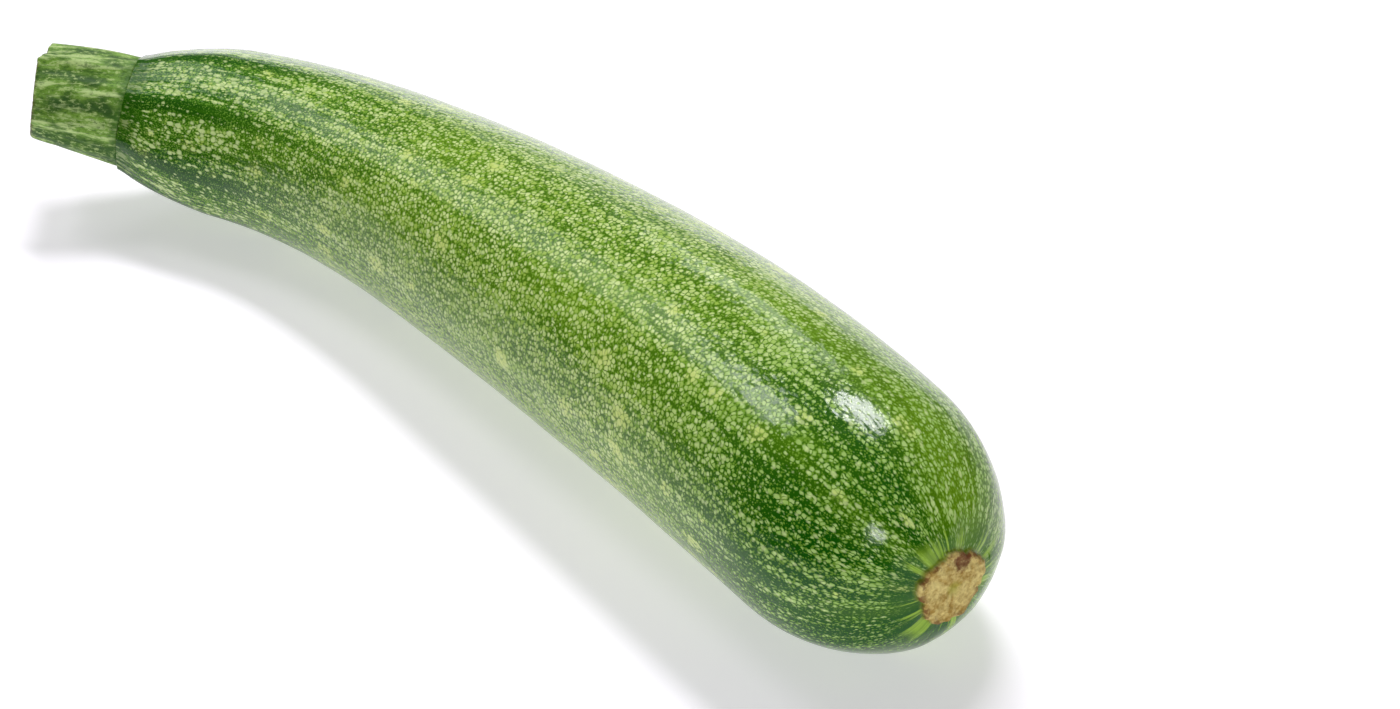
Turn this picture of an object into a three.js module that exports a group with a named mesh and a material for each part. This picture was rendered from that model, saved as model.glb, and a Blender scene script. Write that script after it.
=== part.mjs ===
// Courgette lying on its side, with the stump of its stalk. Millimetres, +Z up.
// The axis of the fruit is a bent line from the stalk end (s = 0) to the blossom end (s = LENGTH).
import * as THREE from "three";

// ---- fruit ----
const LENGTH = 214; // along the bent axis
const BODY_RADIUS = [14.3, 17.5, 20.7, 19.5]; // at 0, 1/3, 2/3 and all of the length
const HEADING = [45.6, 1.8, -5.0, -8.6, -4.9]; // degrees in plan, at every quarter of the length
const SEAT = 1.2; // the neck is cut flat here, under the stalk
const NECK_RADIUS = 9.3; // where the shoulder starts, at s = 0
const SHOULDER_LENGTH = 20;
const SHOULDER_POWER = 1.55;
const DOME_LENGTH = 27.7; // rounded blossom end
const DOME_POWER = 2.37;
const NECK_RISE = 4.5; // the neck lifts and sways just before the stalk
const NECK_SWAY = 1.0;
const NECK_FADE = 13;
const FLAT_DEPTH = 0.3; // how much of the belly is flattened where it rests

// ---- soft ribs of the fruit ----
const RIBS = 8;
const RIB_ANGLE = 88; // degrees, first rib at the stalk end
const RIB_TWIST = 10; // degrees lost along the whole length
const RIB_MIDDLE = 0.32; // share of a true octagon in the section
const RIB_NECK = 0.75;
const RIB_TIP = 0.12;

// ---- corky blossom scar ----
const SCAR_RADIUS = 5.7;
const SCAR_RAISE = 0.5;
const FOLD_DEPTH = 0.3; // small folds drawn in round the scar

// ---- stalk ----
const STALK_LENGTH = 17.9;
const STALK_GAP = 0.3; // the dark line between stalk and fruit
const STALK_RADIUS = 8.1; // in the hollows at the cut
const STALK_SWELL = 1; // wider at the foot by this much
const STALK_TWIST = 13; // degrees from foot to cut
const RIDGE_WIDTH = 14; // degrees
const STALK_RIDGES = [
  // angle in degrees at the foot, height
  [14, 0.8],
  [52, 0.8],
  [90, 1],
  [131, 0.5],
  [168, 0.9],
  [208, 0.35],
  [243, 0.6],
  [283, 0.5],
  [325, 0.8]
];
const FOOT_FLARE = 0.5;
const FLARE_ANGLE = 225;
const FOOT_FADE = 3.2;
const CUT_SLANT = 0.22; // slope of the cut face
const SLANT_ANGLE = 175;
const CUT_BREAKS = [
  // where the cut broke off shorter: middle, half width and softness in degrees, depth
  [344, 122, 12, 1.5],
  [40, 44, 40, 1.2],
  [258, 40, 36, 1.6]
];

// ---- mesh density ----
const FRUIT_STEPS = 46;
const FRUIT_SIDES = 72;
const STALK_SIDES = 72;
const PLAN_STEPS = 240;

const rad = (degrees) => (degrees * Math.PI) / 180;
const wave = (theta, count, shift) => Math.cos(count * (theta - rad(shift)));

// Smooth curve through evenly spaced values, t from 0 to 1 (Lagrange polynomial).
function through(values, t) {
  const last = values.length - 1;
  let sum = 0;
  for (let i = 0; i <= last; i += 1) {
    let term = values[i];
    for (let j = 0; j <= last; j += 1) {
      if (j !== i) {
        term *= (t * last - j) / (i - j);
      }
    }
    sum += term;
  }
  return sum;
}

// Plan of the axis: the heading added up in short straight steps.
function layPlan() {
  const plan = [[0, 0]];
  for (let i = 0; i < PLAN_STEPS; i += 1) {
    const h = rad(through(HEADING, (i + 0.5) / PLAN_STEPS));
    const step = LENGTH / PLAN_STEPS;
    plan.push([plan[i][0] + step * Math.cos(h), plan[i][1] + step * Math.sin(h)]);
  }
  return plan;
}

const PLAN = layPlan();

function planPoint(s) {
  const place = (s / LENGTH) * PLAN_STEPS;
  const i = Math.min(Math.floor(place), PLAN_STEPS - 1);
  const f = place - i;
  const a = PLAN[i];
  const b = PLAN[i + 1];
  return [a[0] + (b[0] - a[0]) * f, a[1] + (b[1] - a[1]) * f];
}

const bodyRadius = (s) => through(BODY_RADIUS, s / LENGTH);

// Centre of the section at s: the belly stays on the ground, the neck lifts and sways.
function centre(s) {
  const [x, y] = planPoint(s);
  const h = rad(through(HEADING, s / LENGTH));
  const w = Math.exp(-s / NECK_FADE);
  return new THREE.Vector3(
    x - NECK_SWAY * w * Math.sin(h),
    y + NECK_SWAY * w * Math.cos(h),
    bodyRadius(s) - FLAT_DEPTH + NECK_RISE * w
  );
}

// Section frame at s: point, direction along the axis, level side, and up across the axis.
function frameAt(s) {
  const d = 0.5;
  const ahead = centre(Math.min(s + d, LENGTH));
  const along = ahead.sub(centre(Math.max(s - d, 0))).normalize();
  const side = new THREE.Vector3(-along.y, along.x, 0).normalize();
  const up = along.clone().cross(side);
  return { point: centre(s), along, side, up };
}

function place(frame, radius, theta, lift) {
  return frame.point
    .clone()
    .addScaledVector(frame.side, radius * Math.cos(theta))
    .addScaledVector(frame.up, radius * Math.sin(theta))
    .addScaledVector(frame.along, lift);
}

// Section through the side of a regular polygon, less its mean, so corners stand out a little.
function octagon(theta, s) {
  const width = (2 * Math.PI) / RIBS;
  const turned = theta - rad(RIB_ANGLE - (RIB_TWIST * s) / LENGTH);
  const inside = turned - width * Math.floor(turned / width) - width / 2;
  return Math.cos(width / 2) / Math.cos(inside) - 0.949;
}

const ribShare = (s) =>
  RIB_MIDDLE + RIB_NECK * Math.exp(-s / 22) + RIB_TIP * Math.exp((s - LENGTH) / 20);

// Outline of the fruit without ribs: shoulder at the neck, dome at the blossom end.
function outline(s) {
  const a = Math.max(1 - s / SHOULDER_LENGTH, 0);
  const b = Math.max(1 - (LENGTH - s) / DOME_LENGTH, 0);
  const neck = NECK_RADIUS / BODY_RADIUS[0];
  const shoulder = neck + (1 - neck) * (1 - a ** SHOULDER_POWER) ** (1 / SHOULDER_POWER);
  return bodyRadius(s) * shoulder * (1 - b ** DOME_POWER) ** (1 / DOME_POWER);
}

function fruitPoint(s, theta) {
  const frame = frameAt(s);
  const radius = outline(s) * (1 + ribShare(s) * octagon(theta, s));
  const near = Math.exp(-Math.max(radius - SCAR_RADIUS, 0) / 3.5) * (s > LENGTH / 2 ? 1 : 0);
  const fold = FOLD_DEPTH * near * (0.5 - 0.5 * wave(theta, 9, 40));
  const p = place(frame, radius, theta, -fold);
  p.z = Math.max(p.z, 0);
  return p;
}

// Uneven edge of the scar.
const scarEdge = (theta) =>
  SCAR_RADIUS *
  (1 + 0.05 * wave(theta, 3, 20) + 0.05 * wave(theta, 5, 8) + 0.03 * wave(theta, 9, 3));

// Point of the scar region at a share of its edge radius; the cork stands proud with a dimple.
function scarPoint(share, theta) {
  const radius = scarEdge(theta) * share;
  const flat = (radius / BODY_RADIUS[3]) ** DOME_POWER;
  const s = LENGTH - DOME_LENGTH * (1 - (1 - flat) ** (1 / DOME_POWER));
  const grain = 0.14 * share * wave(theta, 7, 50 * share) * wave(theta, 4, 90 * share);
  const proud = share < 1 ? SCAR_RAISE - 0.45 * (1 - share) ** 2 + grain : -0.12;
  return place(frameAt(s), radius, theta, proud);
}

// Closed solid from rings of points, with a point closing each end.
function closedSolid(first, rings, last) {
  const points = [first, ...rings.flat(), last];
  const n = rings[0].length;
  const faces = [];
  for (let j = 0; j < n; j += 1) {
    const k = (j + 1) % n;
    faces.push(0, 1 + k, 1 + j);
    for (let i = 0; i < rings.length - 1; i += 1) {
      const a = 1 + i * n;
      const b = a + n;
      faces.push(a + j, a + k, b + k);
      faces.push(a + j, b + k, b + j);
    }
    const end = 1 + (rings.length - 1) * n;
    faces.push(end + j, end + k, points.length - 1);
  }
  const geometry = new THREE.BufferGeometry().setFromPoints(points);
  geometry.setIndex(faces);
  return geometry;
}

const around = (sides, make) =>
  Array.from({ length: sides }, (_, i) => make((2 * Math.PI * i) / sides));

function makeFruit() {
  const neck = frameAt(SEAT);
  const rings = [around(FRUIT_SIDES, (theta) => place(neck, 0.55 * outline(SEAT), theta, 0))];
  for (let i = 0; i <= FRUIT_STEPS; i += 1) {
    const s = SEAT + ((LENGTH - SEAT) * (1 - Math.cos((Math.PI * i) / FRUIT_STEPS))) / 2;
    if (outline(s) > 1.35 * SCAR_RADIUS) {
      rings.push(around(FRUIT_SIDES, (theta) => fruitPoint(s, theta)));
    }
  }
  for (const share of [1.04, 0.96, 0.8, 0.6, 0.4, 0.2]) {
    rings.push(around(FRUIT_SIDES, (theta) => scarPoint(share, theta)));
  }
  return closedSolid(neck.point, rings, scarPoint(0, 0));
}

// Degrees between an angle in radians and a spot, the short way round.
const away = (theta, spot) => ((((theta * 180) / Math.PI - spot) % 360) + 540) % 360 - 180;

// How far the stalk's ridges stand out at a height, twisted from the foot to the cut.
function ridged(theta, height) {
  const turned = theta - rad((STALK_TWIST * height) / STALK_LENGTH);
  let sum = 0;
  for (const [spot, rise] of STALK_RIDGES) {
    sum += rise * Math.exp(-((away(turned, spot) / RIDGE_WIDTH) ** 2));
  }
  return sum;
}

const smooth = (value, start, end) => THREE.MathUtils.smoothstep(value, start, end);

// How far the broken places of the rim drop below the rest of the cut.
function breakDrop(height, share, theta) {
  let sum = 0;
  for (const [spot, half, soft, depth] of CUT_BREAKS) {
    sum += depth * (1 - smooth(Math.abs(away(theta, spot)), half - soft, half));
  }
  return sum * smooth(share, 0.45, 0.8) * (height / STALK_LENGTH) ** 4;
}

// Point of the stalk at a height above its foot, at a share of the full section.
function stalkPoint(height, share, theta) {
  const up = height / STALK_LENGTH;
  const flare = FOOT_FLARE * Math.exp(-height / FOOT_FADE) * (0.5 + 0.5 * wave(theta, 1, FLARE_ANGLE));
  const swell = STALK_SWELL * (1 - up ** 2);
  const radius = share * (STALK_RADIUS + swell + ridged(theta, height) + flare);
  const slant = CUT_SLANT * radius * wave(theta, 1, SLANT_ANGLE) * up;
  const lift = slant + breakDrop(height, share, theta);
  return place(frameAt(SEAT), radius, theta, lift - STALK_GAP - height);
}

function makeStalk() {
  const rows = [
    [STALK_LENGTH - 0.8, 0.35],
    [STALK_LENGTH - 0.45, 0.72],
    [STALK_LENGTH, 0.92],
    [STALK_LENGTH - 0.1, 0.98],
    [STALK_LENGTH - 0.7, 1],
    [15.2, 1],
    [12.6, 1],
    [9.6, 1],
    [7, 1],
    [5, 1],
    [3.4, 1],
    [2.1, 1],
    [1.1, 1],
    [0.25, 0.985],
    [0, 0.94],
    [0, 0.5]
  ];
  const rings = rows.map(([height, share]) =>
    around(STALK_SIDES, (theta) => stalkPoint(height, share, theta))
  );
  return closedSolid(stalkPoint(STALK_LENGTH - 0.9, 0, 0), rings, stalkPoint(0, 0, 0));
}

function piece(name, geometry, colour, roughness) {
  const material = new THREE.MeshStandardMaterial({ color: colour, roughness, metalness: 0 });
  material.name = `${name}_skin`;
  const mesh = new THREE.Mesh(geometry, material);
  mesh.name = name;
  return mesh;
}

const group = new THREE.Group();
group.name = "courgette";
const fruit = piece("fruit", makeFruit(), 0x5f8a33, 0.38);
const stalk = piece("stalk", makeStalk(), 0x6a8f45, 0.6);
const box = new THREE.Box3();
for (const mesh of [fruit, stalk]) {
  mesh.geometry.computeBoundingBox();
  box.union(mesh.geometry.boundingBox);
}
const middle = box.getCenter(new THREE.Vector3());
for (const mesh of [fruit, stalk]) {
  mesh.geometry.translate(-middle.x, -middle.y, -box.min.z);
  group.add(mesh);
}

export default group;
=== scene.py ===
"""A courgette lying on a white table: speckled skin, ridged stalk stump and corky blossom scar.

Lengths are in millimetres and angles in degrees, unless a line says otherwise. The meshes, the
lamps and the camera end up in metres. The axis of the fruit is a bent line, from s = 0 at the
stalk end to s = LENGTH at the blossom end.
"""
import math

import bpy
import numpy as np
from mathutils import Matrix, Vector


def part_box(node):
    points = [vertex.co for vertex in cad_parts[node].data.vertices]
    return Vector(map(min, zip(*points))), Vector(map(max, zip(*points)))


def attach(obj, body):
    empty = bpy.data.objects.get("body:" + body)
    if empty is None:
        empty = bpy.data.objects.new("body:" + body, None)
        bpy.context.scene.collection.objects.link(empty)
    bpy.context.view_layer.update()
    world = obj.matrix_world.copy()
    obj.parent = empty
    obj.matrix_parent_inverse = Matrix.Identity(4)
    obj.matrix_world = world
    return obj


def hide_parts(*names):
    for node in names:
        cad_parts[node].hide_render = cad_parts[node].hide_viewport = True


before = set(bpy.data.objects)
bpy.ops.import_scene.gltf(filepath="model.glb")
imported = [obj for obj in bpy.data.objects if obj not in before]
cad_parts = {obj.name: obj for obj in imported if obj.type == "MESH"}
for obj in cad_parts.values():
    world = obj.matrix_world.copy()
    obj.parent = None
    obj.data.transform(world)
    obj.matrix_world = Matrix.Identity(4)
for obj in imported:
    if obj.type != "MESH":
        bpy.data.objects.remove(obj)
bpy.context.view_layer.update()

MM = 0.001

# ---- shape of the fruit and stalk, the same values as the solids ----
LENGTH = 214
BODY_RADIUS = [14.3, 17.5, 20.7, 19.5]  # at 0, 1/3, 2/3 and all of the length
HEADING = [45.6, 1.8, -5.0, -8.6, -4.9]  # in plan, at every quarter of the length
PLAN_STEPS = 240
AXIS_STEP = 0.5  # the axis' direction is taken this far ahead and back
SEAT = 1.2  # the neck is cut flat here, under the stalk
NECK_RADIUS = 9.3  # where the shoulder starts, at s = 0
SHOULDER_LENGTH = 20
SHOULDER_POWER = 1.55
DOME_LENGTH = 27.7  # rounded blossom end
DOME_POWER = 2.37
NECK_RISE = 4.5  # the neck lifts and sways just before the stalk
NECK_SWAY = 1.0
NECK_FADE = 13
FLAT_DEPTH = 0.3  # how much of the belly is flattened where it rests
RIBS = 8
RIB_ANGLE = 88  # of the first rib, at the stalk end
RIB_TWIST = 10  # lost along the whole length
RIB_MIDDLE = 0.32  # share of a true octagon in the section
RIB_NECK = 0.75
RIB_NECK_FADE = 22
RIB_TIP = 0.12
RIB_TIP_FADE = 20
OCTAGON_MEAN = 0.949  # mean radius of an octagon with its corners at 1
SCAR_RADIUS = 5.7
SCAR_RAISE = 0.5
SCAR_DIMPLE = 0.45
FOLDS = 9  # small folds drawn in round the scar
FOLD_ANGLE = 40
FOLD_DEPTH = 0.3
FOLD_FADE = 3.5
STALK_LENGTH = 17.9
STALK_GAP = 0.3  # the dark line between stalk and fruit
STALK_RADIUS = 8.1  # in the hollows at the cut
STALK_SWELL = 1  # wider at the foot by this much
STALK_TWIST = 13  # from foot to cut
RIDGE_WIDTH = 14
STALK_RIDGES = [
    # angle at the foot, height
    (14, 0.8),
    (52, 0.8),
    (90, 1),
    (131, 0.5),
    (168, 0.9),
    (208, 0.35),
    (243, 0.6),
    (283, 0.5),
    (325, 0.8),
]
FOOT_FLARE = 0.5
FLARE_ANGLE = 225
FOOT_FADE = 3.2
CUT_SLANT = 0.22  # slope of the cut face
SLANT_ANGLE = 175
CUT_BREAKS = [
    # where the cut broke off shorter: middle, half width and softness as angles, depth
    (344, 122, 12, 1.5),
    (40, 44, 40, 1.2),
    (258, 40, 36, 1.6),
]

# ---- fine forms that only the visible surfaces have ----
RIB_SOFTNESS = 0.08  # radians, rounds the corners of the octagon
RIB_CLEAR = 0.35  # the ribs die out over this share of the scar's radius before its edge
SEAT_SHARE = 0.9  # the seat rises toward the stalk by this share of the gap
SEAT_FADE = 0.5
COLLAR_RISE = 0.4  # soft lip of skin round the foot of the stalk
COLLAR_EDGE = (8.6, 10.2)  # radii where the lip starts and is full
COLLAR_FADE = 0.7
CORK_DROP = 0.1  # makes room for the ragged rim within the raise of the scar
CORK_EDGE = (1.03, 0.05)  # share where the cork ends, and how soft that end is
CORK_RIM = (0.93, 0.06, 0.16)  # share where the rim stands, its width as a share, its height
GROOVE = (1.3, 0.2, 0.12)  # share where the dip outside the cork starts, its slope, its depth
FLUTE_FADE = 16
LUMP_START = 2  # the lumps grow from nothing over this length by the stalk
LUMP_END = 1.02  # and stop at this share of the scar's radius
BREAK_TEETH = 31  # small teeth along the broken places of the cut
BREAK_RAG = 1.5
DISH_DEPTH = 0.85  # the cut face is dished
FACE_BAND = 0.9  # the cut face's roughness reaches this far below the cut

# Relief: height, size of a lump, how far it is pressed along the piece, and seed.
SKIN_LUMPS = [(0.10, 16, 0.35, 1), (0.035, 5, 0.4, 2)]
NECK_FLUTES = [(0.10, 4.5, 0.12, 3)]
CORK_LUMPS = [(0.13, 1.9, 1, 5), (0.07, 0.8, 1, 6)]
RIM_LUMPS = [(1, 2.4, 1, 7)]
STALK_FIBRES = [(0.10, 1.5, 0.08, 11), (0.12, 4, 0.2, 12)]
FACE_LUMPS = [(0.10, 1.4, 1, 13), (0.05, 0.6, 1, 14)]

# ---- rows and columns of the visible surfaces ----
FRUIT_SIDES = 240
FRUIT_ROWS = 300
SEAT_RINGS = [0.08, 0.3, 0.5, 0.7, 0.85, 0.95, 0.99]  # shares of the neck's radius
SECTION_END = 1.3  # the sections end at this many scar radii, and rings of the scar take over
SKIRT_RINGS = np.linspace(1.22, 1.03, 6)  # shares of the scar's edge, outside it
CORK_RINGS = np.linspace(1.0, 0.03, 34)  # and on it
FAR = 9.0  # stands for the share of the scar's edge anywhere else
STALK_SIDES = 260
FACE_RINGS = np.linspace(0.03, 0.92, 30)  # shares of the stalk's section, on the cut face
CUT_EDGE = [(0, 0.955), (0.1, 0.98), (0.35, 0.993)]  # drop below the cut, and share
WALL_HEIGHTS = np.linspace(STALK_LENGTH - 0.7, 0.25, 64)
FOOT_EDGE = [(0.1, 0.98), (0, 0.94), (0, 0.45)]  # height, and share

# ---- maps ----
BAKE_MARGIN = 0.01  # left free at both ends of the square map
CHART_GIRTH = 114  # girth of the fruit on its chart
CHART_END = 0.1  # length on the chart from the last row to its pole
LUMP_RADIUS = 18  # the lumps of the skin are worked out on a round bar of this radius
NECK_DRAW = (0.3, 38)  # the chart is shortened by this share at the neck, and its fade
TIP_DRAW = (0.15, 16)  # and by this at the blossom end


# ------------------------------------------------------------------ shape
def wave(theta, count, shift):
    """Cosine with a count of crests round the section, one crest at the shift in degrees."""
    return np.cos(count * (theta - math.radians(shift)))


def through(values, t):
    """The one polynomial that takes the values at evenly spaced places from 0 to 1."""
    places = np.linspace(0, 1, len(values))
    return np.polyval(np.polyfit(places, values, len(values) - 1), t)


def smooth(value, start, end):
    """0 before start, 1 after end, and a smooth cubic step between."""
    t = np.clip((value - start) / (end - start), 0, 1)
    return t * t * (3 - 2 * t)


def unit(v):
    """Each vector divided by its length."""
    return v / np.linalg.norm(v, axis=-1, keepdims=True)


def added_up(steps):
    """Running total of the steps, from 0."""
    return np.concatenate([[0], np.cumsum(steps)])


def row_steps(points):
    """Mean distance from each row of the grid to the next."""
    return np.linalg.norm(np.diff(points, axis=0), axis=-1).mean(1)


def round_bar(radius, angle, along):
    """Point of a straight bar: radius times cosine and sine of the angle, then the place
    along it."""
    return np.stack([radius * np.cos(angle), radius * np.sin(angle), along + 0 * angle], -1)


def ripple(points, size, seed, waves=36):
    """Smooth random relief from about -1 to 1: a sum of plane waves in random directions, with
    lengths round the size given."""
    dice = np.random.default_rng(seed)
    total = np.zeros(points.shape[:-1])
    for direction in unit(dice.normal(size=(waves, 3))):
        pitch = 2 * math.pi / (size * dice.uniform(0.7, 1.6))
        total += np.sin(points @ direction * pitch + dice.uniform(0, 2 * math.pi))
    return total / math.sqrt(waves / 2) / 2


def relief(points, layers):
    """Sum of the layers' heights times their ripples. Before each ripple the third number of
    the points is multiplied by the layer's press, so a low press draws its lumps out."""
    return sum(
        height * ripple(points * [1, 1, press], size, seed)
        for height, size, press, seed in layers
    )


def lay_plan():
    """The axis seen from above: the heading added up in short straight steps."""
    turn = np.radians(through(HEADING, (np.arange(PLAN_STEPS) + 0.5) / PLAN_STEPS))
    step = LENGTH / PLAN_STEPS
    return added_up(np.cos(turn) * step), added_up(np.sin(turn) * step)


PLAN = lay_plan()


def body_radius(s):
    """Radius of the fruit at s without its rounded ends: a cubic along the length."""
    return through(BODY_RADIUS, s / LENGTH)


def centre(s):
    """Centre of the section at s: on the plan line, as high as the body's radius less the flat
    depth, and near the stalk lifted and swayed by amounts that fade as exp(-s / fade)."""
    along = np.linspace(0, LENGTH, PLAN_STEPS + 1)
    turn = np.radians(through(HEADING, s / LENGTH))
    fade = np.exp(-s / NECK_FADE)
    return np.stack(
        [
            np.interp(s, along, PLAN[0]) - NECK_SWAY * fade * np.sin(turn),
            np.interp(s, along, PLAN[1]) + NECK_SWAY * fade * np.cos(turn),
            body_radius(s) - FLAT_DEPTH + NECK_RISE * fade,
        ],
        -1,
    )


def section(s):
    """Section frame at s: point, direction along the axis, level side, and up across it."""
    ahead, behind = np.minimum(s + AXIS_STEP, LENGTH), np.maximum(s - AXIS_STEP, 0)
    along = unit(centre(ahead) - centre(behind))
    side = unit(np.stack([-along[..., 1], along[..., 0], np.zeros(along.shape[:-1])], -1))
    return centre(s), along, side, np.cross(along, side)


def place(s, radius, theta, lift):
    """Point at a radius and angle in the section at s, moved by lift along the axis."""
    point, along, side, up = section(s)
    across = np.cos(theta)[..., None] * side + np.sin(theta)[..., None] * up
    return point + radius[..., None] * across + lift[..., None] * along


def rib_turn(theta, s):
    """Angle measured from the first rib line, twisted along the fruit, as a phase of one turn
    per rib."""
    return RIBS * (theta - np.radians(RIB_ANGLE - RIB_TWIST * s / LENGTH))


def octagon(theta, s):
    """Radius of a regular polygon with a corner on each rib line, less its mean. The corners
    are rounded: the angle from a corner becomes the root of its square plus the softness's."""
    half = math.pi / RIBS
    corner = half - np.abs(np.mod(rib_turn(theta, s) / RIBS, 2 * half) - half)
    corner = np.sqrt(corner**2 + RIB_SOFTNESS**2)
    return math.cos(half) / np.cos(half - corner) - OCTAGON_MEAN


def outline(s):
    """Radius without ribs: the body times a shoulder that closes on the neck and a
    super-ellipse dome at the blossom end."""
    a = np.maximum(1 - s / SHOULDER_LENGTH, 0)
    b = np.clip(1 - (LENGTH - s) / DOME_LENGTH, 0, 1)
    neck = NECK_RADIUS / BODY_RADIUS[0]
    shoulder = neck + (1 - neck) * (1 - a**SHOULDER_POWER) ** (1 / SHOULDER_POWER)
    return body_radius(s) * shoulder * (1 - b**DOME_POWER) ** (1 / DOME_POWER)


def dome_station(radius):
    """Place s on the axis where the blossom dome has that radius."""
    flat = np.clip(radius / BODY_RADIUS[3], 0, 1) ** DOME_POWER
    return LENGTH - DOME_LENGTH * (1 - (1 - flat) ** (1 / DOME_POWER))


def scar_edge(theta):
    """Radius of the uneven edge of the scar: a circle with slow waves and fine teeth."""
    slow = 0.05 * wave(theta, 3, 20) + 0.05 * wave(theta, 5, 8) + 0.03 * wave(theta, 9, 3)
    fine = 0.018 * wave(theta, 17, 4) + 0.014 * wave(theta, 26, 9)
    return SCAR_RADIUS * (1 + slow + fine)


def scar_lift(share, flat):
    """How far the scar's end stands out. On the cork it is the raise, less a dimple that
    deepens as the square of the way in, with lumps and a ragged bell-shaped rim. Outside the
    cork the skin dips into a groove."""
    rim_share, rim_width, rim_height = CORK_RIM
    bell = np.exp(-(((share - rim_share) / rim_width) ** 2))
    rim = rim_height * bell * (1 + relief(flat, RIM_LUMPS))
    cork = relief(flat, CORK_LUMPS)
    proud = SCAR_RAISE - CORK_DROP - SCAR_DIMPLE * (1 - share) ** 2 + cork + rim
    on_cork = np.clip((CORK_EDGE[0] - share) / CORK_EDGE[1], 0, 1)
    start, slope, depth = GROOVE
    return on_cork * proud - (1 - on_cork) * depth * np.clip((start - share) / slope, 0, 1)


def fruit_rows():
    """Angle, place s, radius without ribs and share of the scar's edge, on the fruit's grid.
    Rings on the flat neck seat come first. Then come sections, spaced by a cosine so that they
    crowd at both ends, and last the rings round and on the scar."""
    theta = np.linspace(0, 2 * math.pi, FRUIT_SIDES, endpoint=False)
    spread = (1 - np.cos(np.linspace(0, math.pi, FRUIT_ROWS))) / 2
    stations = SEAT + (LENGTH - SEAT) * spread
    stations = stations[stations < dome_station(SECTION_END * SCAR_RADIUS)]
    rings = np.concatenate([SKIRT_RINGS, CORK_RINGS])
    seat = slice(0, len(SEAT_RINGS))
    skin = slice(seat.stop, seat.stop + len(stations))
    scar = slice(skin.stop, skin.stop + len(rings))

    angle = np.tile(theta, (scar.stop, 1))
    s = np.full_like(angle, SEAT)
    radius = np.zeros_like(angle)
    share = np.full_like(angle, FAR)
    radius[seat] = np.array(SEAT_RINGS)[:, None] * outline(np.array(SEAT))
    s[skin] = stations[:, None]
    radius[skin] = outline(stations)[:, None]
    share[skin] = radius[skin] / scar_edge(angle[skin])
    share[scar] = rings[:, None]
    radius[scar] = share[scar] * scar_edge(angle[scar])
    s[scar] = dome_station(radius[scar])
    share[s < LENGTH / 2] = FAR
    return angle, s, radius, share


def fruit_surface():
    """Grid of the fruit, rows from the neck to the scar and columns round it: the outline
    times one plus a share of the octagon, folds and cork at the scar, the seat and the collar's
    lip at the stalk, and low lumps on the skin. Gives the points, the length along them, that
    length shortened toward both ends for the chart, and the marks that the finish reads."""
    angle, s, radius, share = fruit_rows()
    ribs = RIB_MIDDLE + RIB_NECK * np.exp(-s / RIB_NECK_FADE)
    ribs = ribs + RIB_TIP * np.exp((s - LENGTH) / RIB_TIP_FADE)
    ribs = ribs * np.clip((share - 1) / RIB_CLEAR, 0, 1)
    shape = radius * (1 + ribs * octagon(angle, s))

    flat = round_bar(radius, angle, 0)
    near = np.exp(-np.maximum(radius - SCAR_RADIUS, 0) / FOLD_FADE) * (share < FAR)
    fold = FOLD_DEPTH * near * (0.5 - 0.5 * wave(angle, FOLDS, FOLD_ANGLE)) * (share > 1)
    lift = scar_lift(share, flat) - fold
    lift -= SEAT_SHARE * STALK_GAP * np.exp(-(s - SEAT) / SEAT_FADE)
    lift -= COLLAR_RISE * smooth(radius, *COLLAR_EDGE) * np.exp(-(s - SEAT) / COLLAR_FADE)

    steps = row_steps(place(s, shape, angle, lift))
    arc = added_up(steps)
    row_s = s[1:].mean(1)
    neck_drawn = NECK_DRAW[0] * np.exp(-row_s / NECK_DRAW[1])
    tip_drawn = TIP_DRAW[0] * np.exp((row_s - LENGTH) / TIP_DRAW[1])
    drawn = added_up(steps * (1 - neck_drawn - tip_drawn))

    bar = round_bar(LUMP_RADIUS, angle, arc[:, None])
    lumps = relief(bar, SKIN_LUMPS) + relief(bar, NECK_FLUTES) * np.exp(-s / FLUTE_FADE)
    lumps = lumps * (np.clip((s - SEAT) / LUMP_START, 0, 1) * (share > LUMP_END))
    points = place(s, shape + lumps, angle, lift)
    points[..., 2] = np.maximum(points[..., 2], 0)
    marks = {
        "ribs": np.stack([np.cos(rib_turn(angle, s)), np.sin(rib_turn(angle, s)), s], -1),
        "scar": np.stack([flat[..., 0], flat[..., 1], share], -1),
    }
    return points, arc, drawn, marks


def away(angle, spot):
    """Degrees between an angle in radians and a spot, the short way round."""
    return np.mod(np.degrees(angle) - spot + 180, 360) - 180


def ridged(angle, height):
    """How far the stalk's ridges stand out: a bell of its own height at each ridge, twisted
    evenly from the foot to the cut."""
    turned = angle - np.radians(STALK_TWIST * height / STALK_LENGTH)
    return sum(
        rise * np.exp(-((away(turned, spot) / RIDGE_WIDTH) ** 2)) for spot, rise in STALK_RIDGES
    )


def break_drop(height, share, angle):
    """How far the broken places of the rim drop below the rest of the cut: each a smooth step
    down between its toothed edges, fading toward the middle and down the stalk."""
    ragged = BREAK_RAG * wave(angle, BREAK_TEETH, 5)
    drop = sum(
        depth * (1 - smooth(np.abs(away(angle, spot)) + ragged, half - soft, half))
        for spot, half, soft, depth in CUT_BREAKS
    )
    return drop * smooth(share, 0.45, 0.8) * (height / STALK_LENGTH) ** 4


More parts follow.
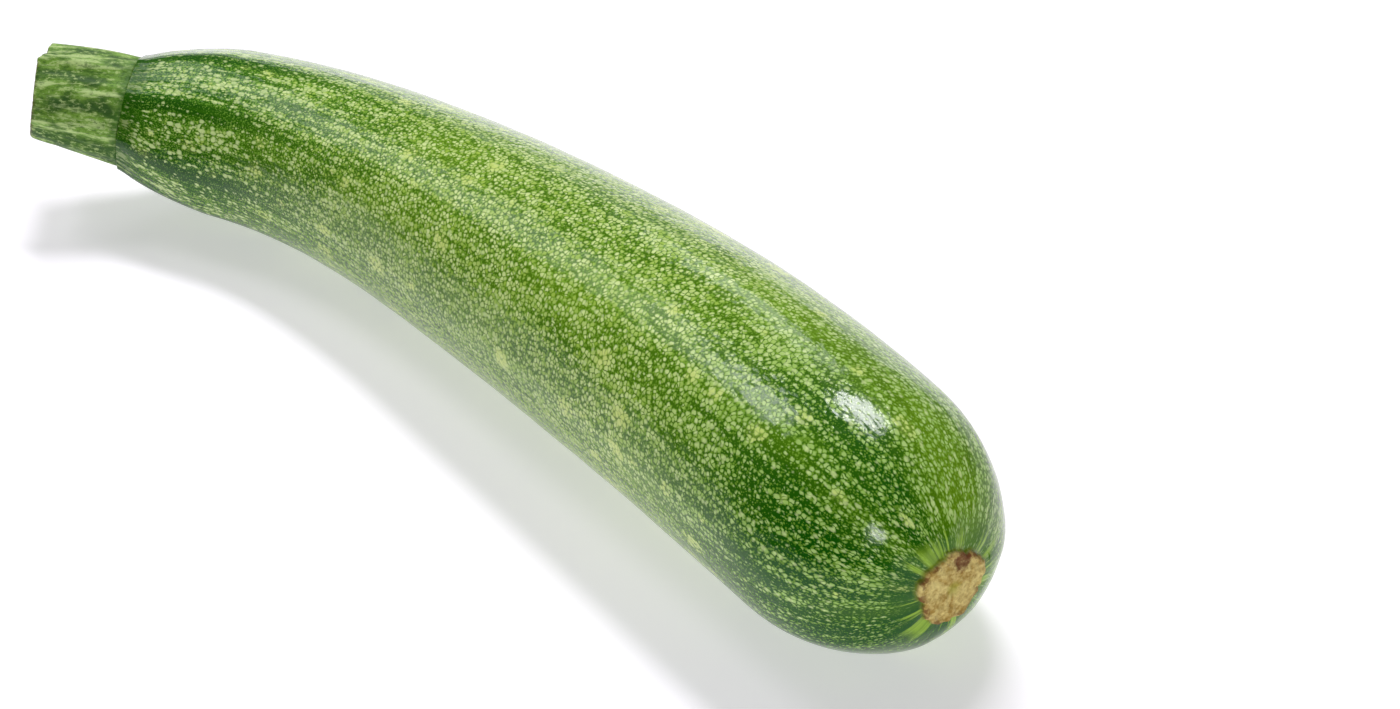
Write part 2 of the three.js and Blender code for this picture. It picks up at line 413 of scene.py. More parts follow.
def stalk_rows():
    """Height above the foot, share of the full section and angle, on the stalk's grid: the cut
    face, dished as the cube of the way out, its edge, the wall, and the edge of the foot."""
    dish = STALK_LENGTH - DISH_DEPTH + DISH_DEPTH * (FACE_RINGS / FACE_RINGS[-1]) ** 3
    cut_drop, cut_share = np.transpose(CUT_EDGE)
    foot_height, foot_share = np.transpose(FOOT_EDGE)
    height = np.concatenate([dish, STALK_LENGTH - cut_drop, WALL_HEIGHTS, foot_height])
    share = np.concatenate([FACE_RINGS, cut_share, np.ones(len(WALL_HEIGHTS)), foot_share])
    theta = np.linspace(0, 2 * math.pi, STALK_SIDES, endpoint=False)
    angle = np.tile(theta, (len(share), 1))
    return height[:, None] + 0 * angle, share[:, None] + 0 * angle, angle


def stalk_surface():
    """Grid of the stalk, rows from the middle of the cut face round to the middle of the
    foot. A row is a share of the ridged section, which swells as the square of the way down
    and flares at one side of the foot, with fine fibres along it. The cut slants."""
    height, share, angle = stalk_rows()
    flare = FOOT_FLARE * np.exp(-height / FOOT_FADE) * (0.5 + 0.5 * wave(angle, 1, FLARE_ANGLE))
    swell = STALK_SWELL * (1 - (height / STALK_LENGTH) ** 2)
    radius = share * (STALK_RADIUS + swell + ridged(angle, height) + flare)
    bar = round_bar(radius, angle, height)
    on_wall = np.clip((share - 0.9) / 0.1, 0, 1) * np.clip(height / 1.5, 0, 1)
    on_face = (height > STALK_LENGTH - FACE_BAND) & (share < 0.99)
    slant = CUT_SLANT * radius * wave(angle, 1, SLANT_ANGLE) * height / STALK_LENGTH
    lift = slant + break_drop(height, share, angle)
    lift += np.where(on_face, np.abs(relief(bar, FACE_LUMPS)), 0) - STALK_GAP - height
    wall = radius + relief(bar, STALK_FIBRES) * on_wall
    points = place(0 * radius + SEAT, wall, angle, lift)

    turned = angle - np.radians(STALK_TWIST * height / STALK_LENGTH)
    ridge = ridged(angle, height) / max(rise for _, rise in STALK_RIDGES)
    marks = {
        "fibre": round_bar(STALK_RADIUS, turned, height),
        "cut": np.stack([share, height, ridge], -1),
    }
    arc = added_up(row_steps(points))
    return points, arc, arc, marks


# ------------------------------------------------------------------ meshes
def fit_box(points, node):
    """Points moved and very slightly scaled so that their box is the CAD node's box."""
    low, high = (np.array(corner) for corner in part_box(node))
    a, b = points.min((0, 1)), points.max((0, 1))
    return low + (points - a) * (high - low) / (b - a)


def with_poles(values):
    """The grid's vectors in one list, with the mean of its first row before them and the mean
    of its last row after them."""
    return np.concatenate([[values[0].mean(0)], values.reshape(-1, 3), [values[-1].mean(0)]])


def closed_faces(rows, sides):
    """Faces of a grid with poles: quads between the rows, then a fan round each pole."""
    i, j = np.meshgrid(np.arange(rows - 1), np.arange(sides), indexing="ij")
    quads = np.stack([1 + i * sides + j, 1 + i * sides + (j + 1) % sides], -1)
    quads = np.concatenate([quads, quads[..., ::-1] + sides], -1).reshape(-1, 4)
    ring = np.arange(sides)
    after = (ring + 1) % sides
    last = 1 + (rows - 1) * sides
    first = np.stack([0 * ring, 1 + after, 1 + ring], -1)
    final = np.stack([last + ring, last + after, 0 * ring + last + sides], -1)
    return quads.tolist() + first.tolist() + final.tolist()


def lay_map(mesh, name, u, v, step, end):
    """UV map on the grid's quads and then on its two fans: u round it in steps, v along it,
    from 0 at the first pole up to the end value at the last."""
    i, j = np.meshgrid(np.arange(len(v) - 1), np.arange(len(u)), indexing="ij")
    low, high, across = v[i], v[i + 1], u[j]
    quads = [(across, low), (across + step, low), (across + step, high), (across, high)]
    first = [(u + step / 2, 0 * u), (u + step, 0 * u + v[0]), (u, 0 * u + v[0])]
    final = [(u, 0 * u + v[-1]), (u + step, 0 * u + v[-1]), (u + step / 2, 0 * u + end)]
    corners = [
        np.stack([np.stack(corner, -1) for corner in faces], -2).reshape(-1)
        for faces in (quads, first, final)
    ]
    mesh.uv_layers.new(name=name).data.foreach_set("uv", np.concatenate(corners))


def closed_piece(name, points, maps, marks, finish):
    """Closed smooth mesh from a grid of rows, with its marks as vertex attributes, a map of
    angle round by length along that fills a square, and a chart in millimetres whose seam is
    underneath."""
    rows, sides = points.shape[:2]
    mesh = bpy.data.meshes.new(name)
    mesh.from_pydata(with_poles(points).tolist(), [], closed_faces(rows, sides))

    arc, drawn = maps
    ring = np.arange(sides)
    along = arc / arc[-1] * (1 - 2 * BAKE_MARGIN) + BAKE_MARGIN
    lay_map(mesh, "OFBake", ring / sides, along, 1 / sides, 1)
    turned = (ring + sides // 4) % sides * CHART_GIRTH / sides
    lay_map(mesh, "chart", turned, drawn, CHART_GIRTH / sides, drawn[-1] + CHART_END)

    for title, values in marks.items():
        attribute = mesh.attributes.new(title, "FLOAT_VECTOR", "POINT")
        attribute.data.foreach_set("vector", with_poles(values).astype(np.float32).ravel())
    mesh.shade_smooth()
    mesh.materials.append(finish)
    mesh.update()
    piece = bpy.data.objects.new(name, mesh)
    bpy.context.collection.objects.link(piece)
    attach(piece, "root")
    return piece


# ------------------------------------------------------------------ colours
def tint(red, green, blue):
    """Linear colour from the usual 0 to 255 screen values."""
    return tuple(((c / 255 + 0.055) / 1.055) ** 2.4 for c in (red, green, blue)) + (1,)


# Between the flecks.
BODY_GREEN = tint(70, 116, 2)
NECK_GREEN = tint(38, 98, 5)
OLIVE_GREEN = tint(100, 137, 14)
DOME_GREEN = tint(10, 82, 0)
DRIFT_GREEN = tint(112, 156, 2)
STRIPE_GREEN = tint(26, 80, 4)
# Painted shade on the belly, on the near side.
BELLY_SHADE_GREEN = tint(20, 66, 0)
# Painted shade in the crease where the skin meets the stalk.
JUNCTION_SHADE_GREEN = tint(34, 84, 4)
# Flecks.
FLECK_GREEN = tint(164, 198, 72)
FLECK_CREAM = tint(228, 244, 166)
FLECK_AT_TIP = tint(158, 202, 110)
# Painted shade on the flecks of the belly.
BELLY_SHADE_FLECK = tint(132, 172, 70)
BIG_FLECK = tint(212, 232, 158)
DOT_GREEN = tint(150, 196, 68)
DOT_AT_NECK = tint(118, 172, 64)
SPOT_YELLOW = tint(214, 230, 128)
# Round the scar and on it.
BETWEEN_RAYS = tint(22, 88, 4)
RAY_YELLOW = tint(156, 194, 58)
CORK_COLLAR = tint(120, 128, 40)
CORK_BROWN = tint(166, 134, 60)
CORK_TAN = tint(229, 211, 136)
CORK_GRAIN = tint(124, 86, 42)
CORK_OLIVE = tint(162, 160, 52)
CORK_RIM_BROWN = tint(110, 66, 30)
CORK_BRUISE = tint(98, 40, 20)
# Stalk.
STALK_GREEN = tint(46, 90, 11)
STALK_LIGHT = tint(116, 160, 53)
STALK_HOLLOW = tint(38, 82, 8)
STALK_STREAK = tint(200, 222, 150)
STALK_MOTTLE = tint(192, 216, 136)
STALK_FOOT = tint(54, 104, 16)
CUT_GREEN = tint(134, 148, 48)
CUT_PALE = tint(186, 194, 96)
CUT_EDGE_GREEN = tint(112, 138, 40)
CUT_BROWN = tint(96, 74, 40)
# Table.
TABLE_WHITE = tint(230, 225, 236)
TABLE_GLOW = 0.41
WHITE = (1, 1, 1, 1)


# ------------------------------------------------------------------ node tools
class Wire:
    """A node's output. Arithmetic on it adds Math nodes."""

    def __init__(self, tree, socket):
        self.tree = tree
        self.socket = socket

    def math(self, operation, *values):
        """A Math node of that operation on wires and plain numbers."""
        node = self.tree.nodes.new("ShaderNodeMath")
        node.operation = operation
        for slot, value in zip(node.inputs, values):
            feed(self.tree, slot, value)
        return Wire(self.tree, node.outputs[0])

    def __add__(self, other):
        return self.math("ADD", self, other)

    def __sub__(self, other):
        return self.math("SUBTRACT", self, other)

    def __rsub__(self, other):
        return self.math("SUBTRACT", other, self)

    def __mul__(self, other):
        return self.math("MULTIPLY", self, other)

    __radd__ = __add__
    __rmul__ = __mul__


def feed(tree, slot, value):
    """Link a wire to a socket, or set a plain value on it."""
    if isinstance(value, Wire):
        tree.links.new(value.socket, slot)
    else:
        slot.default_value = value


class Nodes:
    """Nodes added one by one to a tree."""

    def __init__(self, tree):
        self.tree = tree
        tree.nodes.clear()

    def node(self, kind, settings, sockets, out=0):
        """One node of a kind, without its ShaderNode prefix. Settings are set first, then the
        values or links of its sockets. Gives the output named, or nothing for None."""
        node = self.tree.nodes.new("ShaderNode" + kind)
        for key, value in settings.items():
            setattr(node, key, value)
        for key, value in sockets.items():
            feed(self.tree, node.inputs[key], value)
        return None if out is None else Wire(self.tree, node.outputs[out])

    def between(self, value, start, end):
        """0 at start rising smoothly to 1 at end."""
        settings = {"interpolation_type": "SMOOTHSTEP", "clamp": True}
        sockets = {"Value": value, "From Min": start, "From Max": end}
        return self.node("MapRange", settings, sockets)


class Finish(Nodes):
    """A material built node by node."""

    def __init__(self, name):
        self.material = bpy.data.materials.new(name)
        self.material.use_nodes = True
        super().__init__(self.material.node_tree)

    def marks(self, name):
        """A vertex attribute of the piece, as a vector."""
        return self.node("Attribute", {"attribute_name": name}, {}, "Vector")

    def parts(self, vector):
        """The three numbers of a vector or colour."""
        node = self.node("SeparateXYZ", {}, {0: vector}).socket.node
        return [Wire(self.tree, out) for out in node.outputs]

    def stretch(self, vector, x, y, z=0):
        """A vector with each of its numbers multiplied."""
        return self.node("VectorMath", {"operation": "MULTIPLY"}, {0: vector, 1: (x, y, z)})

    def shifted(self, vector, other, amount):
        """A vector with a share of another added."""
        scaled = self.node("VectorMath", {"operation": "SCALE"}, {0: other, "Scale": amount})
        return self.node("VectorMath", {"operation": "ADD"}, {0: vector, 1: scaled})

    def noise(self, vector, detail=2, roughness=0.5, scale=1, out="Fac"):
        """Cloudy noise from 0 to 1, in clouds of about one unit divided by the scale."""
        sockets = {"Vector": vector, "Scale": scale, "Detail": detail, "Roughness": roughness}
        return self.node("TexNoise", {}, sockets, out)

    def cells(self, vector, out="Distance", feature="F1"):
        """Flat scattered cells, one to a unit square: the distance to the nearest cell's point,
        or with other outputs and features its random colour or the distance to its border."""
        settings = {"voronoi_dimensions": "2D", "feature": feature}
        return self.node("TexVoronoi", settings, {"Vector": vector, "Scale": 1}, out)

    def chances(self, vector):
        """Three random numbers of the cell."""
        return self.parts(self.cells(vector, "Color"))

    def blobs(self, vector, reach, start, end):
        """A soft round blob in each cell, where the distance to the cell's point falls short
        of the reach."""
        return self.between(reach - self.cells(vector), start, end)

    def mix(self, share, one, other):
        """A colour between two, by share. Sockets 6 and 7 and output 2 hold its colours."""
        return self.node("Mix", {"data_type": "RGBA"}, {0: share, 6: one, 7: other}, 2)

    def bump(self, height, depth):
        """A normal tilted by a height, where a height of 1 is the depth in millimetres."""
        return self.node("Bump", {}, {"Height": height, "Distance": depth * MM})

    def surface(self, **sockets):
        """The Principled shader and the output. Socket names have _ for a space."""
        sockets = {key.replace("_", " "): value for key, value in sockets.items()}
        shader = self.node("BsdfPrincipled", {}, sockets, "BSDF")
        self.node("OutputMaterial", {}, {"Surface": shader}, None)
        return self.material


# ------------------------------------------------------------------ finishes
# Along the fruit, from where a mask is 0 to where it is 1.
TOWARD_NECK = (95, 15)
TOWARD_TIP = (148, 198)
STRIPED = (60, 12)
# Painted shade in the crease by the stalk, strongest at the seat.
JUNCTION_SHADE = (7, SEAT + 0.5)
OLIVE_START = (145, 175)
DOME_START = (160, 208)
BEFORE_DOME = (165, 130)
PAST_DOME = (196, 208)
SMOOTH_TIP = (197, 205)
# Round the fruit on its chart, which is 28 on the far side, 57 on top and 86 on the near side.
NEAR_SIDE = (50, 63)
# The next two mark painted shade: fewer flecks on the near side by the neck and low by the tip.
SHADED_LOW_NECK = (66, 76)
SHADED_LOW_TIP = (78, 92)
# Painted shade: a darker green and darker flecks on the belly.
SHADED_BELLY = (70, 86)
# By the share of the scar's edge.
NEAR_SCAR = (2, 1.25)
ON_SCAR = (1.03, 0.985)
COLLAR_LINE = (1.12, 1)
CORK_MIDDLE = (0.3, 0.05)
TORN_RIM = (0.74, 0.98)
BRUISE_AT = (1.9, 4.1)  # from the middle of the scar
# By the height of the stalk, and by the share of its section.
FOOT_DARK = (2.4, 0.2)
FACE_TOP = (STALK_LENGTH - 2, STALK_LENGTH - 1)
BROWN_TOP = (STALK_LENGTH - 0.9, STALK_LENGTH)
FACE_SHARE = (0.985, 0.96)
FACE_OUTSIDE = (0.6, 0.95)
BROWN_SHARE = (0.85, 0.96)


class Skin(Finish):
    """Waxy courgette skin: deep green thick with pale round flecks strung in rows, scattered
    yellower spots, dark stripes along the ribs by the stalk, yellow-green rays by the blossom
    end, and the tan cork of the scar. Masks run from 0 to 1. Places along the fruit (s) and
    round it on the chart (around) are in millimetres. The share is 1 on the scar's edge."""

    def __init__(self):
        super().__init__("courgette_skin")
        self.chart = self.node("UVMap", {"uv_map": "chart"}, {})
        self.scar = self.marks("scar")
        self.scar_x, self.scar_y, self.share = self.parts(self.scar)
        rib_cos, rib_sin, self.s = self.parts(self.marks("ribs"))
        around, _, _ = self.parts(self.chart)

        self.toward_neck = self.between(self.s, *TOWARD_NECK)
        self.toward_tip = self.between(self.s, *TOWARD_TIP)
        self.near_scar = self.between(self.share, *NEAR_SCAR)
        self.on_scar = self.between(self.share, *ON_SCAR)
        self.near_side = self.between(around, *NEAR_SIDE)
        # Painted shade: fewer flecks on the near side by the neck and low by the tip.
        self.shaded_low_neck = self.between(around, *SHADED_LOW_NECK) * self.toward_neck
        self.shaded_low_tip = self.between(around, *SHADED_LOW_TIP) * self.toward_tip
        off_dome = self.between(self.s, *BEFORE_DOME) + self.between(self.s, *PAST_DOME)
        # Painted shade: the belly's green and flecks are darkened.
        self.belly = self.between(around, *SHADED_BELLY) * off_dome

        # Long narrow rows, and the wander that keeps every pattern from being regular.
        self.rows = self.noise(self.stretch(self.chart, 0.85, 0.055), 3, 0.6)
        self.row = self.between(self.rows, 0.34, 0.66) - 0.5
        self.wander = self.noise(self.chart, 2, scale=1.1, out="Color")
        self.moved = self.shifted(self.chart, self.wander, 0.55)

        # Dark stripes follow the rib lines, with torn edges, and fade away from the stalk.
        line = rib_cos * 0.985 + rib_sin * 0.17 + self.row * 0.7
        self.stripe = self.between(line, 0.5, 1) * self.between(self.s, *STRIPED)

        # Spots, far apart, where the flecks run together and are yellower.
        wide = self.stretch(self.shifted(self.chart, self.wander, 2), 0.2, 0.12)
        chance, _, _ = self.chances(wide)
        self.spot = self.blobs(wide, (chance - 0.68) * 0.85, -0.12, 0.08)

    def crowding(self):
        """How much further the flecks reach: further in the rows, clumps and spots, and less
        far on the stripes, low down and by the scar. The lesser reach on the near side by the neck
        and low by the tip is painted shade."""
        clumps = self.noise(self.stretch(self.chart, 0.35, 0.22))
        crowd = self.row * (0.24 + self.toward_neck * 0.26 + self.toward_tip * 0.14)
        crowd = crowd + (clumps - 0.5) * 0.25
        # Less reach on the near side by the neck and low by the tip is painted shade.
        crowd = crowd - self.stripe * 0.4 - self.shaded_low_neck * 0.06 - self.near_scar * 0.2
        crowd = crowd + self.spot * 0.13 - self.shaded_low_tip * 0.12
        return crowd + (1 - self.near_side) * self.toward_tip * 0.07

    def flecks(self, crowd):
        """Pale flecks, each of its own size, with dark lines between them, and a random number
        for the tone of each."""
        cells = self.stretch(self.moved, 1.4, 1.05)
        chance, tone, _ = self.chances(cells)
        border = self.cells(cells, feature="DISTANCE_TO_EDGE")
        lines = self.between(border + self.spot * 0.05, 0.02, 0.15)
        reach = 0.3 + chance * 0.3 + crowd - self.toward_neck * 0.22 - self.toward_tip * 0.16
        return self.blobs(cells, reach, -0.12, 0.22) * lines, tone

    def dots(self, crowd):
        """Finer dots between the flecks."""
        cells = self.stretch(self.moved, 2.7, 2.1)
        chance, _, _ = self.chances(cells)
        reach = 0.24 + chance * 0.32 + crowd * 0.7
        reach = reach + self.toward_neck * 0.03 - self.toward_tip * 0.06
        return self.blobs(cells, reach, -0.1, 0.2)

    def big_flecks(self, crowd):
        """Bigger flecks with uneven edges, most of them by the stalk."""
        cells = self.stretch(self.shifted(self.chart, self.wander, 0.3), 0.92, 0.66)
        chance, _, _ = self.chances(cells)
        reach = (chance - 0.55) * 0.6 + crowd * 0.7 + self.toward_neck * 0.24
        return self.blobs(cells, reach, -0.12, 0.16) * (0.75 + self.shaded_low_neck * 0.25)

    def ground(self):
        """The green between the flecks: deeper at the neck, on the dome and the stripes, darker on
        the belly as painted shade, olive on the far side of the dome, and here and there a
        yellower drift."""
        drift = self.noise(self.stretch(self.chart, 0.07, 0.02), 3)
        yellower = self.between(drift, 0.42, 0.7) * (0.45 - self.toward_neck * 0.28)
        olive = self.between(self.s, *OLIVE_START) * (1 - self.near_side) * 0.7
        dome = self.between(self.s, *DOME_START) * (0.35 + self.near_side * 0.65)
        green = self.mix(self.toward_neck, BODY_GREEN, NECK_GREEN)
        green = self.mix(olive, green, OLIVE_GREEN)
        green = self.mix(dome, green, DOME_GREEN)
        green = self.mix(yellower, green, DRIFT_GREEN)
        green = self.mix(self.stripe * 0.8, green, STRIPE_GREEN)
        # Painted shade on the belly.
        return self.mix(self.belly * 0.3, green, BELLY_SHADE_GREEN)

    def speckled(self, crowd, fleck, tone):
        """The ground with its dots, flecks and spots, and a dark band of painted shade round the
        neck by the stalk, where the skin meets it.
        """
        pale = self.mix(tone, FLECK_GREEN, FLECK_CREAM)
        pale = self.mix(self.toward_tip * 0.6, pale, FLECK_AT_TIP)
        # Painted shade on the flecks of the belly.
        pale = self.mix(self.belly * 0.3, pale, BELLY_SHADE_FLECK)
        dotted = self.mix(self.toward_neck * 0.6, DOT_GREEN, DOT_AT_NECK)
        dot_share = 0.6 + self.toward_neck * 0.12 - self.toward_tip * 0.15
        colour = self.mix(self.dots(crowd) * dot_share, self.ground(), dotted)
        colour = self.mix(fleck * 0.88, colour, pale)
        colour = self.mix(self.big_flecks(crowd) * 0.88, colour, BIG_FLECK)
        colour = self.mix(self.spot * (0.1 + fleck * 0.6), colour, SPOT_YELLOW)
        # Painted shade in the crease where the skin meets the stalk.
        return self.mix(self.between(self.s, *JUNCTION_SHADE) * 0.6, colour, JUNCTION_SHADE_GREEN)

    def rayed(self, colour):
        """Smooth yellow-green rays round the scar, each of its own length, with dark green
        between them and an olive line against the cork."""
        outward = self.stretch(self.scar, 1, 1)
        outward = self.node("VectorMath", {"operation": "NORMALIZE"}, {0: outward})
        ray = self.between(self.noise(self.stretch(outward, 4, 4)) + self.row * 0.12, 0.46, 0.6)
        length = self.between(self.share - ray * 0.5, 1.3, 0.85)
        ray = length * ray * (0.5 + self.between(self.rows, 0.35, 0.65) * 0.35)
        colour = self.mix(self.near_scar * 0.35, colour, BETWEEN_RAYS)
        colour = self.mix(ray, colour, RAY_YELLOW)
        return self.mix(self.between(self.share, *COLLAR_LINE) * 0.6, colour, CORK_COLLAR)

    def cork(self, grain):
        """The scar: tan cork with darker grain, an olive middle, a torn brown rim and one
        bruise."""
        torn = self.noise(self.stretch(self.scar, 0.42, 0.42), 4, 0.6)
        cloudy = self.noise(self.stretch(self.scar, 0.3, 0.3), 3, 0.6)
        rim = self.between(self.share, *TORN_RIM) * self.between(torn, 0.47, 0.56)
        off_x, off_y = self.scar_x - BRUISE_AT[0], self.scar_y - BRUISE_AT[1]
        bruise = self.between(off_x * off_x + off_y * off_y + (grain - 0.5) * 12, 4.6, 0.4)
        tan = self.between(grain + cloudy * 0.6, 0.62, 0.98)
        cork = self.mix(tan, CORK_BROWN, CORK_TAN)
        cork = self.mix(self.between(grain, 0.38, 0.3) * 0.5, cork, CORK_GRAIN)
        cork = self.mix(self.between(self.share, *CORK_MIDDLE) * 0.7, cork, CORK_OLIVE)
        cork = self.mix(rim * 0.85, cork, CORK_RIM_BROWN)
        return self.mix(bruise * 0.85, cork, CORK_BRUISE)

    def build(self):
        """The whole skin: glossy and gently uneven, smoother at the tip and dull and rough on
        the cork."""
        crowd = self.crowding()
        fleck, tone = self.flecks(crowd)
        grain = self.noise(self.stretch(self.scar, 0.8, 0.8), 6, 0.7)
        colour = self.rayed(self.speckled(crowd, fleck, tone))

        near_tip = self.between(self.s, *SMOOTH_TIP)
        tiny = self.noise(self.stretch(self.chart, 2.2, 1), 3, 0.6)
        swells = self.noise(self.stretch(self.chart, 0.8, 0.45), 1, 0.4)
        uneven = fleck * 0.2 + tiny * 0.25 + swells * (2.3 - near_tip * 1.7)
        gloss = 0.095 + 0.06 * self.between(self.rows, 0.3, 0.7) + (tiny - near_tip * 0.6) * 0.06
        height = uneven * (1 - self.on_scar) + grain * self.on_scar * 10
        return self.surface(
            Base_Color=self.mix(self.on_scar, colour, self.cork(grain)),
            Roughness=gloss * (1 - self.on_scar) + self.on_scar * 0.85,
            Normal=self.bump(height, 0.05),
            Specular_IOR_Level=0.25,
        )


class Stalk(Finish):
    """Dull ridged stalk: mottled green, paler on the ridges and dark in the hollows, darker at
    the foot, with a yellow-green cut face that is browning at its edge. Heights above the foot
    are in millimetres, and the share is 1 on the wall."""

    def __init__(self):
        super().__init__("courgette_stalk")
        self.fibre = self.marks("fibre")
        self.share, self.height, ridge = self.parts(self.marks("cut"))
        self.crest = self.between(ridge, 0.08, 0.6) - 0.5
        self.streak = self.noise(self.stretch(self.fibre, 1.1, 1.1, 0.16), 4, 0.65)
        self.mottle = self.noise(self.stretch(self.fibre, 1.7, 1.7, 0.8), 4, 0.7)
        scaling = {0: self.fibre, "Scale": self.share}
        disc = self.node("VectorMath", {"operation": "SCALE"}, scaling)
        self.pith = self.noise(self.stretch(disc, 0.8, 0.8, 0.8), 4, 0.7)

    def wall(self):
        """The green of the wall: blotches, then pale and dark streaks along it, then mottling."""
        blotch = self.noise(self.stretch(self.fibre, 0.34, 0.34, 0.16), 3, 0.6)
        light = self.between(blotch + self.crest * 0.2, 0.34, 0.66)
        pale = self.between(self.streak + self.crest * 0.14, 0.52, 0.68)
        dark = self.between(self.streak + self.crest * 0.1, 0.46, 0.34)
        green = self.mix(light, STALK_GREEN, STALK_LIGHT)
        green = self.mix(pale * 0.74, green, STALK_STREAK)
        green = self.mix(dark * 0.6, green, STALK_HOLLOW)
        green = self.mix(self.between(self.mottle, 0.47, 0.36) * 0.6, green, STALK_HOLLOW)
        green = self.mix(self.between(self.mottle, 0.52, 0.64) * 0.65, green, STALK_MOTTLE)
        return self.mix(self.between(self.height, *FOOT_DARK) * 0.55, green, STALK_FOOT)

    def cut_face(self):
        """The pith, pale and yellow-green, greener toward the edge."""
        face = self.mix(self.between(self.pith, 0.38, 0.62), CUT_GREEN, CUT_PALE)
        return self.mix(self.between(self.share, *FACE_OUTSIDE) * 0.7, face, CUT_EDGE_GREEN)

    def build(self):
        """The wall, the cut face over its top, and the brown of the cut's edge."""
        on_face = self.between(self.share, *FACE_SHARE) * self.between(self.height, *FACE_TOP)
        brown = self.between(self.height, *BROWN_TOP) * self.between(self.share, *BROWN_SHARE)
        brown = brown * self.between(self.pith, 0.4, 0.6) * 0.7
        colour = self.mix(on_face, self.wall(), self.cut_face())
        return self.surface(
            Base_Color=self.mix(brown, colour, CUT_BROWN),
            Roughness=0.45 + self.streak * 0.2,
            Specular_IOR_Level=0.3,
            Normal=self.bump(self.streak + self.mottle * 0.5 + self.pith * 0.3, 0.25),
        )


def table_finish():
    """Plain white table with some light of its own, so that it stays white under the lamps."""
    f = Finish("white_table")
    cloud = f.noise(f.node("TexCoord", {}, {}, "Object"), scale=3)
    return f.surface(
        Base_Color=TABLE_WHITE,
        Roughness=0.9 + cloud * 0.05,
        Specular_IOR_Level=0.2,
        Emission_Color=WHITE,
        Emission_Strength=TABLE_GLOW,
    )


# ------------------------------------------------------------------ build
fruit_points, *fruit_maps, fruit_marks = fruit_surface()
stalk_points, *stalk_maps, stalk_marks = stalk_surface()

fruit = closed_piece(
    "courgette_fruit",
    fit_box(fruit_points, "fruit"),
    fruit_maps,
    fruit_marks,
    Skin().build(),
)
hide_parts("fruit")
stalk = closed_piece(
    "courgette_stalk",
    fit_box(stalk_points, "stalk"),
    stalk_maps,
    stalk_marks,
    Stalk().build(),
)
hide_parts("stalk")

# ------------------------------------------------------------------ table, lamps and camera
TABLE_SIZE = 12  # metres

bpy.ops.mesh.primitive_plane_add(size=TABLE_SIZE, location=(0, 0, 0))
floor = bpy.context.object
floor.name = "table"
floor.data.materials.append(table_finish())


def stand(name, data, location, right, up, back):
    """New lamp or camera at a location, with its own three axes along these directions. It
    looks the opposite way from back."""
    stood = bpy.data.objects.new(name, data)
    bpy.context.collection.objects.link(stood)
    stood.location = location
    stood.rotation_mode = "QUATERNION"
    stood.rotation_quaternion = Matrix((right, up, back)).transposed().to_quaternion()
    return stood


def softbox(name, direction, distance, along, across, power):
    """Soft rectangular lamp that faces the courgette from a direction. Its along side lies as
    near to the length of the courgette as it can. Distance and sides in metres, power in watts."""
    light = bpy.data.lights.new(name, "AREA")
    light.shape = "RECTANGLE"
    light.size, light.size_y = along, across
    light.energy = power
    back = Vector(direction).normalized()
    upright = back.cross(Vector((1, 0, 0))).normalized()
    stand(name, light, back * distance, upright.cross(back), upright, back)


# The main lamp, then one for the stalk's side.
softbox("over_light", (-0.23, 0.38, 0.90), distance=1.3, along=0.58, across=0.2, power=11)
softbox("left_light", (-0.74, -0.01, 0.67), distance=1.4, along=0.74, across=0.34, power=1.8)
# A near lamp that the skin mirrors in one place, above the scar.
softbox("patch_light", (-0.53, -0.03, 0.85), distance=0.48, along=0.08, across=0.1, power=0.2)
# Two that graze the far edge from behind.
softbox("rim_light", (-0.62, 0.55, 0.55), distance=1.4, along=0.35, across=0.3, power=1.3)
softbox("back_light", (-0.80, 0.57, 0.16), distance=1.6, along=0.9, across=0.2, power=0.5)
# One beside the camera, mirrored next to the scar.
softbox(
    "camera_light", (0.705, -0.573, 0.418), distance=0.8, along=0.19, across=0.17, power=2
)

BRIGHT_SIDE = (-0.5, 0.5, 0.3)
BRIGHT_SPREAD = (-0.4, 0.8)  # cosines of the angle from the bright side, dim to bright
BRIGHT_GLOW = 0.14
DIM_GLOW = 0.02


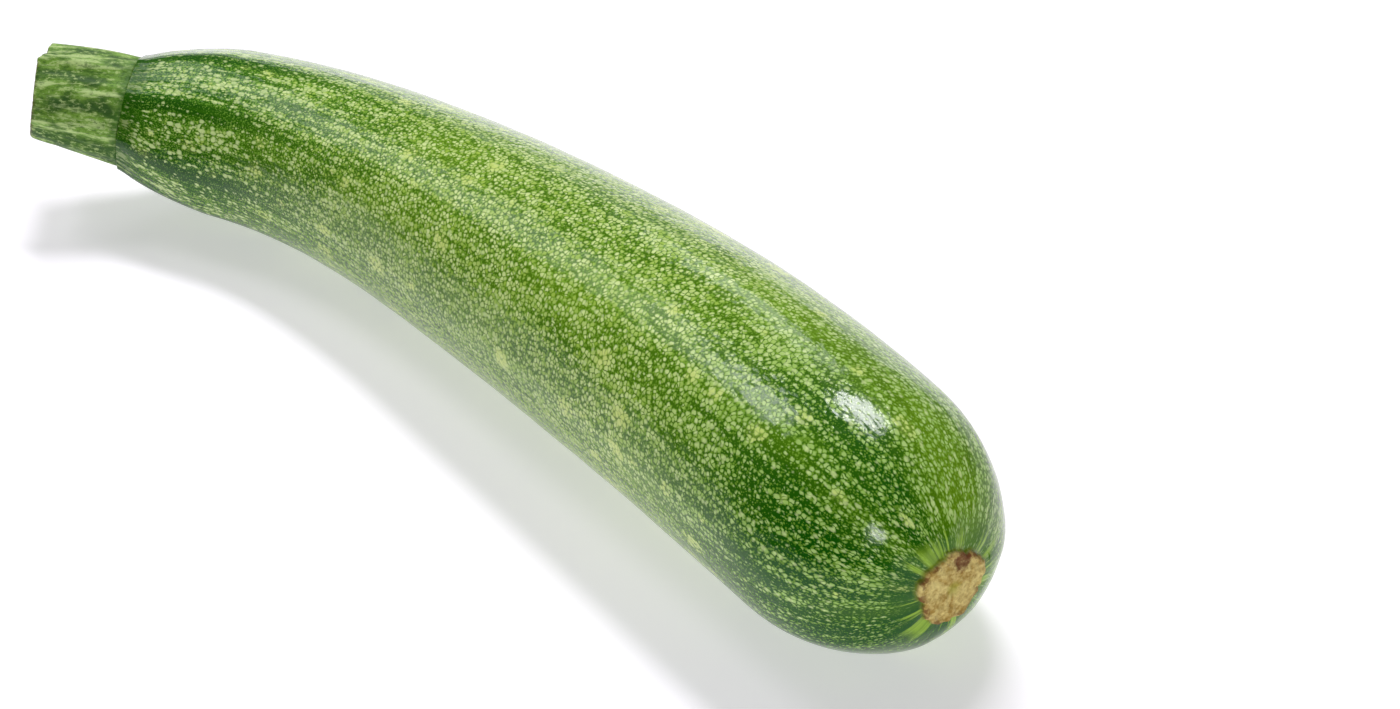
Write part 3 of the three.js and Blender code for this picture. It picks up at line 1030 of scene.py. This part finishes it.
def light_world():
    """White studio surroundings, bright above and behind and dim on the camera's side. Seen
    straight from the camera they are plain white."""
    world = bpy.data.worlds.new("studio")
    bpy.context.scene.world = world
    world.use_nodes = True
    f = Nodes(world.node_tree)
    toward = f.node("TexCoord", {}, {}, "Generated")
    bright = Vector(BRIGHT_SIDE).normalized()
    facing = f.node("VectorMath", {"operation": "DOT_PRODUCT"}, {0: toward, 1: bright}, "Value")
    glow = DIM_GLOW + (BRIGHT_GLOW - DIM_GLOW) * f.between(facing, *BRIGHT_SPREAD)
    seen = f.node("LightPath", {}, {}, "Is Camera Ray")
    glow = glow + seen * (1 - glow)
    shade = f.node("Background", {}, {"Color": WHITE, "Strength": glow}, "Background")
    f.node("OutputWorld", {}, {"Surface": shade}, None)


light_world()

CAMERA_AZIMUTH = 52.97
CAMERA_ELEVATION = 33.93
CAMERA_ROLL = -7.61
CAMERA_DISTANCE = 588
CAMERA_AIM = (96.47, -5.06, 16.8)  # half way along the fruit, by its near side
AIM_RIGHT = 41.5  # the camera is moved sideways and up by these
AIM_UP = -3.97
CAMERA_LENS = 95
CAMERA_SENSOR = 36


def set_camera(start):
    """Camera at its azimuth and elevation from the aim, rolled about its own axis and moved by
    two offsets. The start is the place in metres where the axis' own frame has its origin."""
    a, e, r = (math.radians(v) for v in (CAMERA_AZIMUTH, CAMERA_ELEVATION, CAMERA_ROLL))
    back = Vector((math.sin(a) * math.cos(e), -math.cos(a) * math.cos(e), math.sin(e)))
    level = (-back).cross(Vector((0, 0, 1))).normalized()
    upright = level.cross(-back)
    right = level * math.cos(r) + upright * math.sin(r)
    up = upright * math.cos(r) - level * math.sin(r)
    spot = Vector(CAMERA_AIM) + back * CAMERA_DISTANCE + right * AIM_RIGHT + up * AIM_UP
    data = bpy.data.cameras.new("camera")
    data.lens, data.sensor_width = CAMERA_LENS, CAMERA_SENSOR
    data.clip_start = 10 * MM
    bpy.context.scene.camera = stand("camera", data, spot * MM + Vector(start), right, up, back)


set_camera(np.array(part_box("fruit")[0]) - fruit_points.min((0, 1)) * MM)
bpy.context.scene.view_settings.view_transform = "Standard"
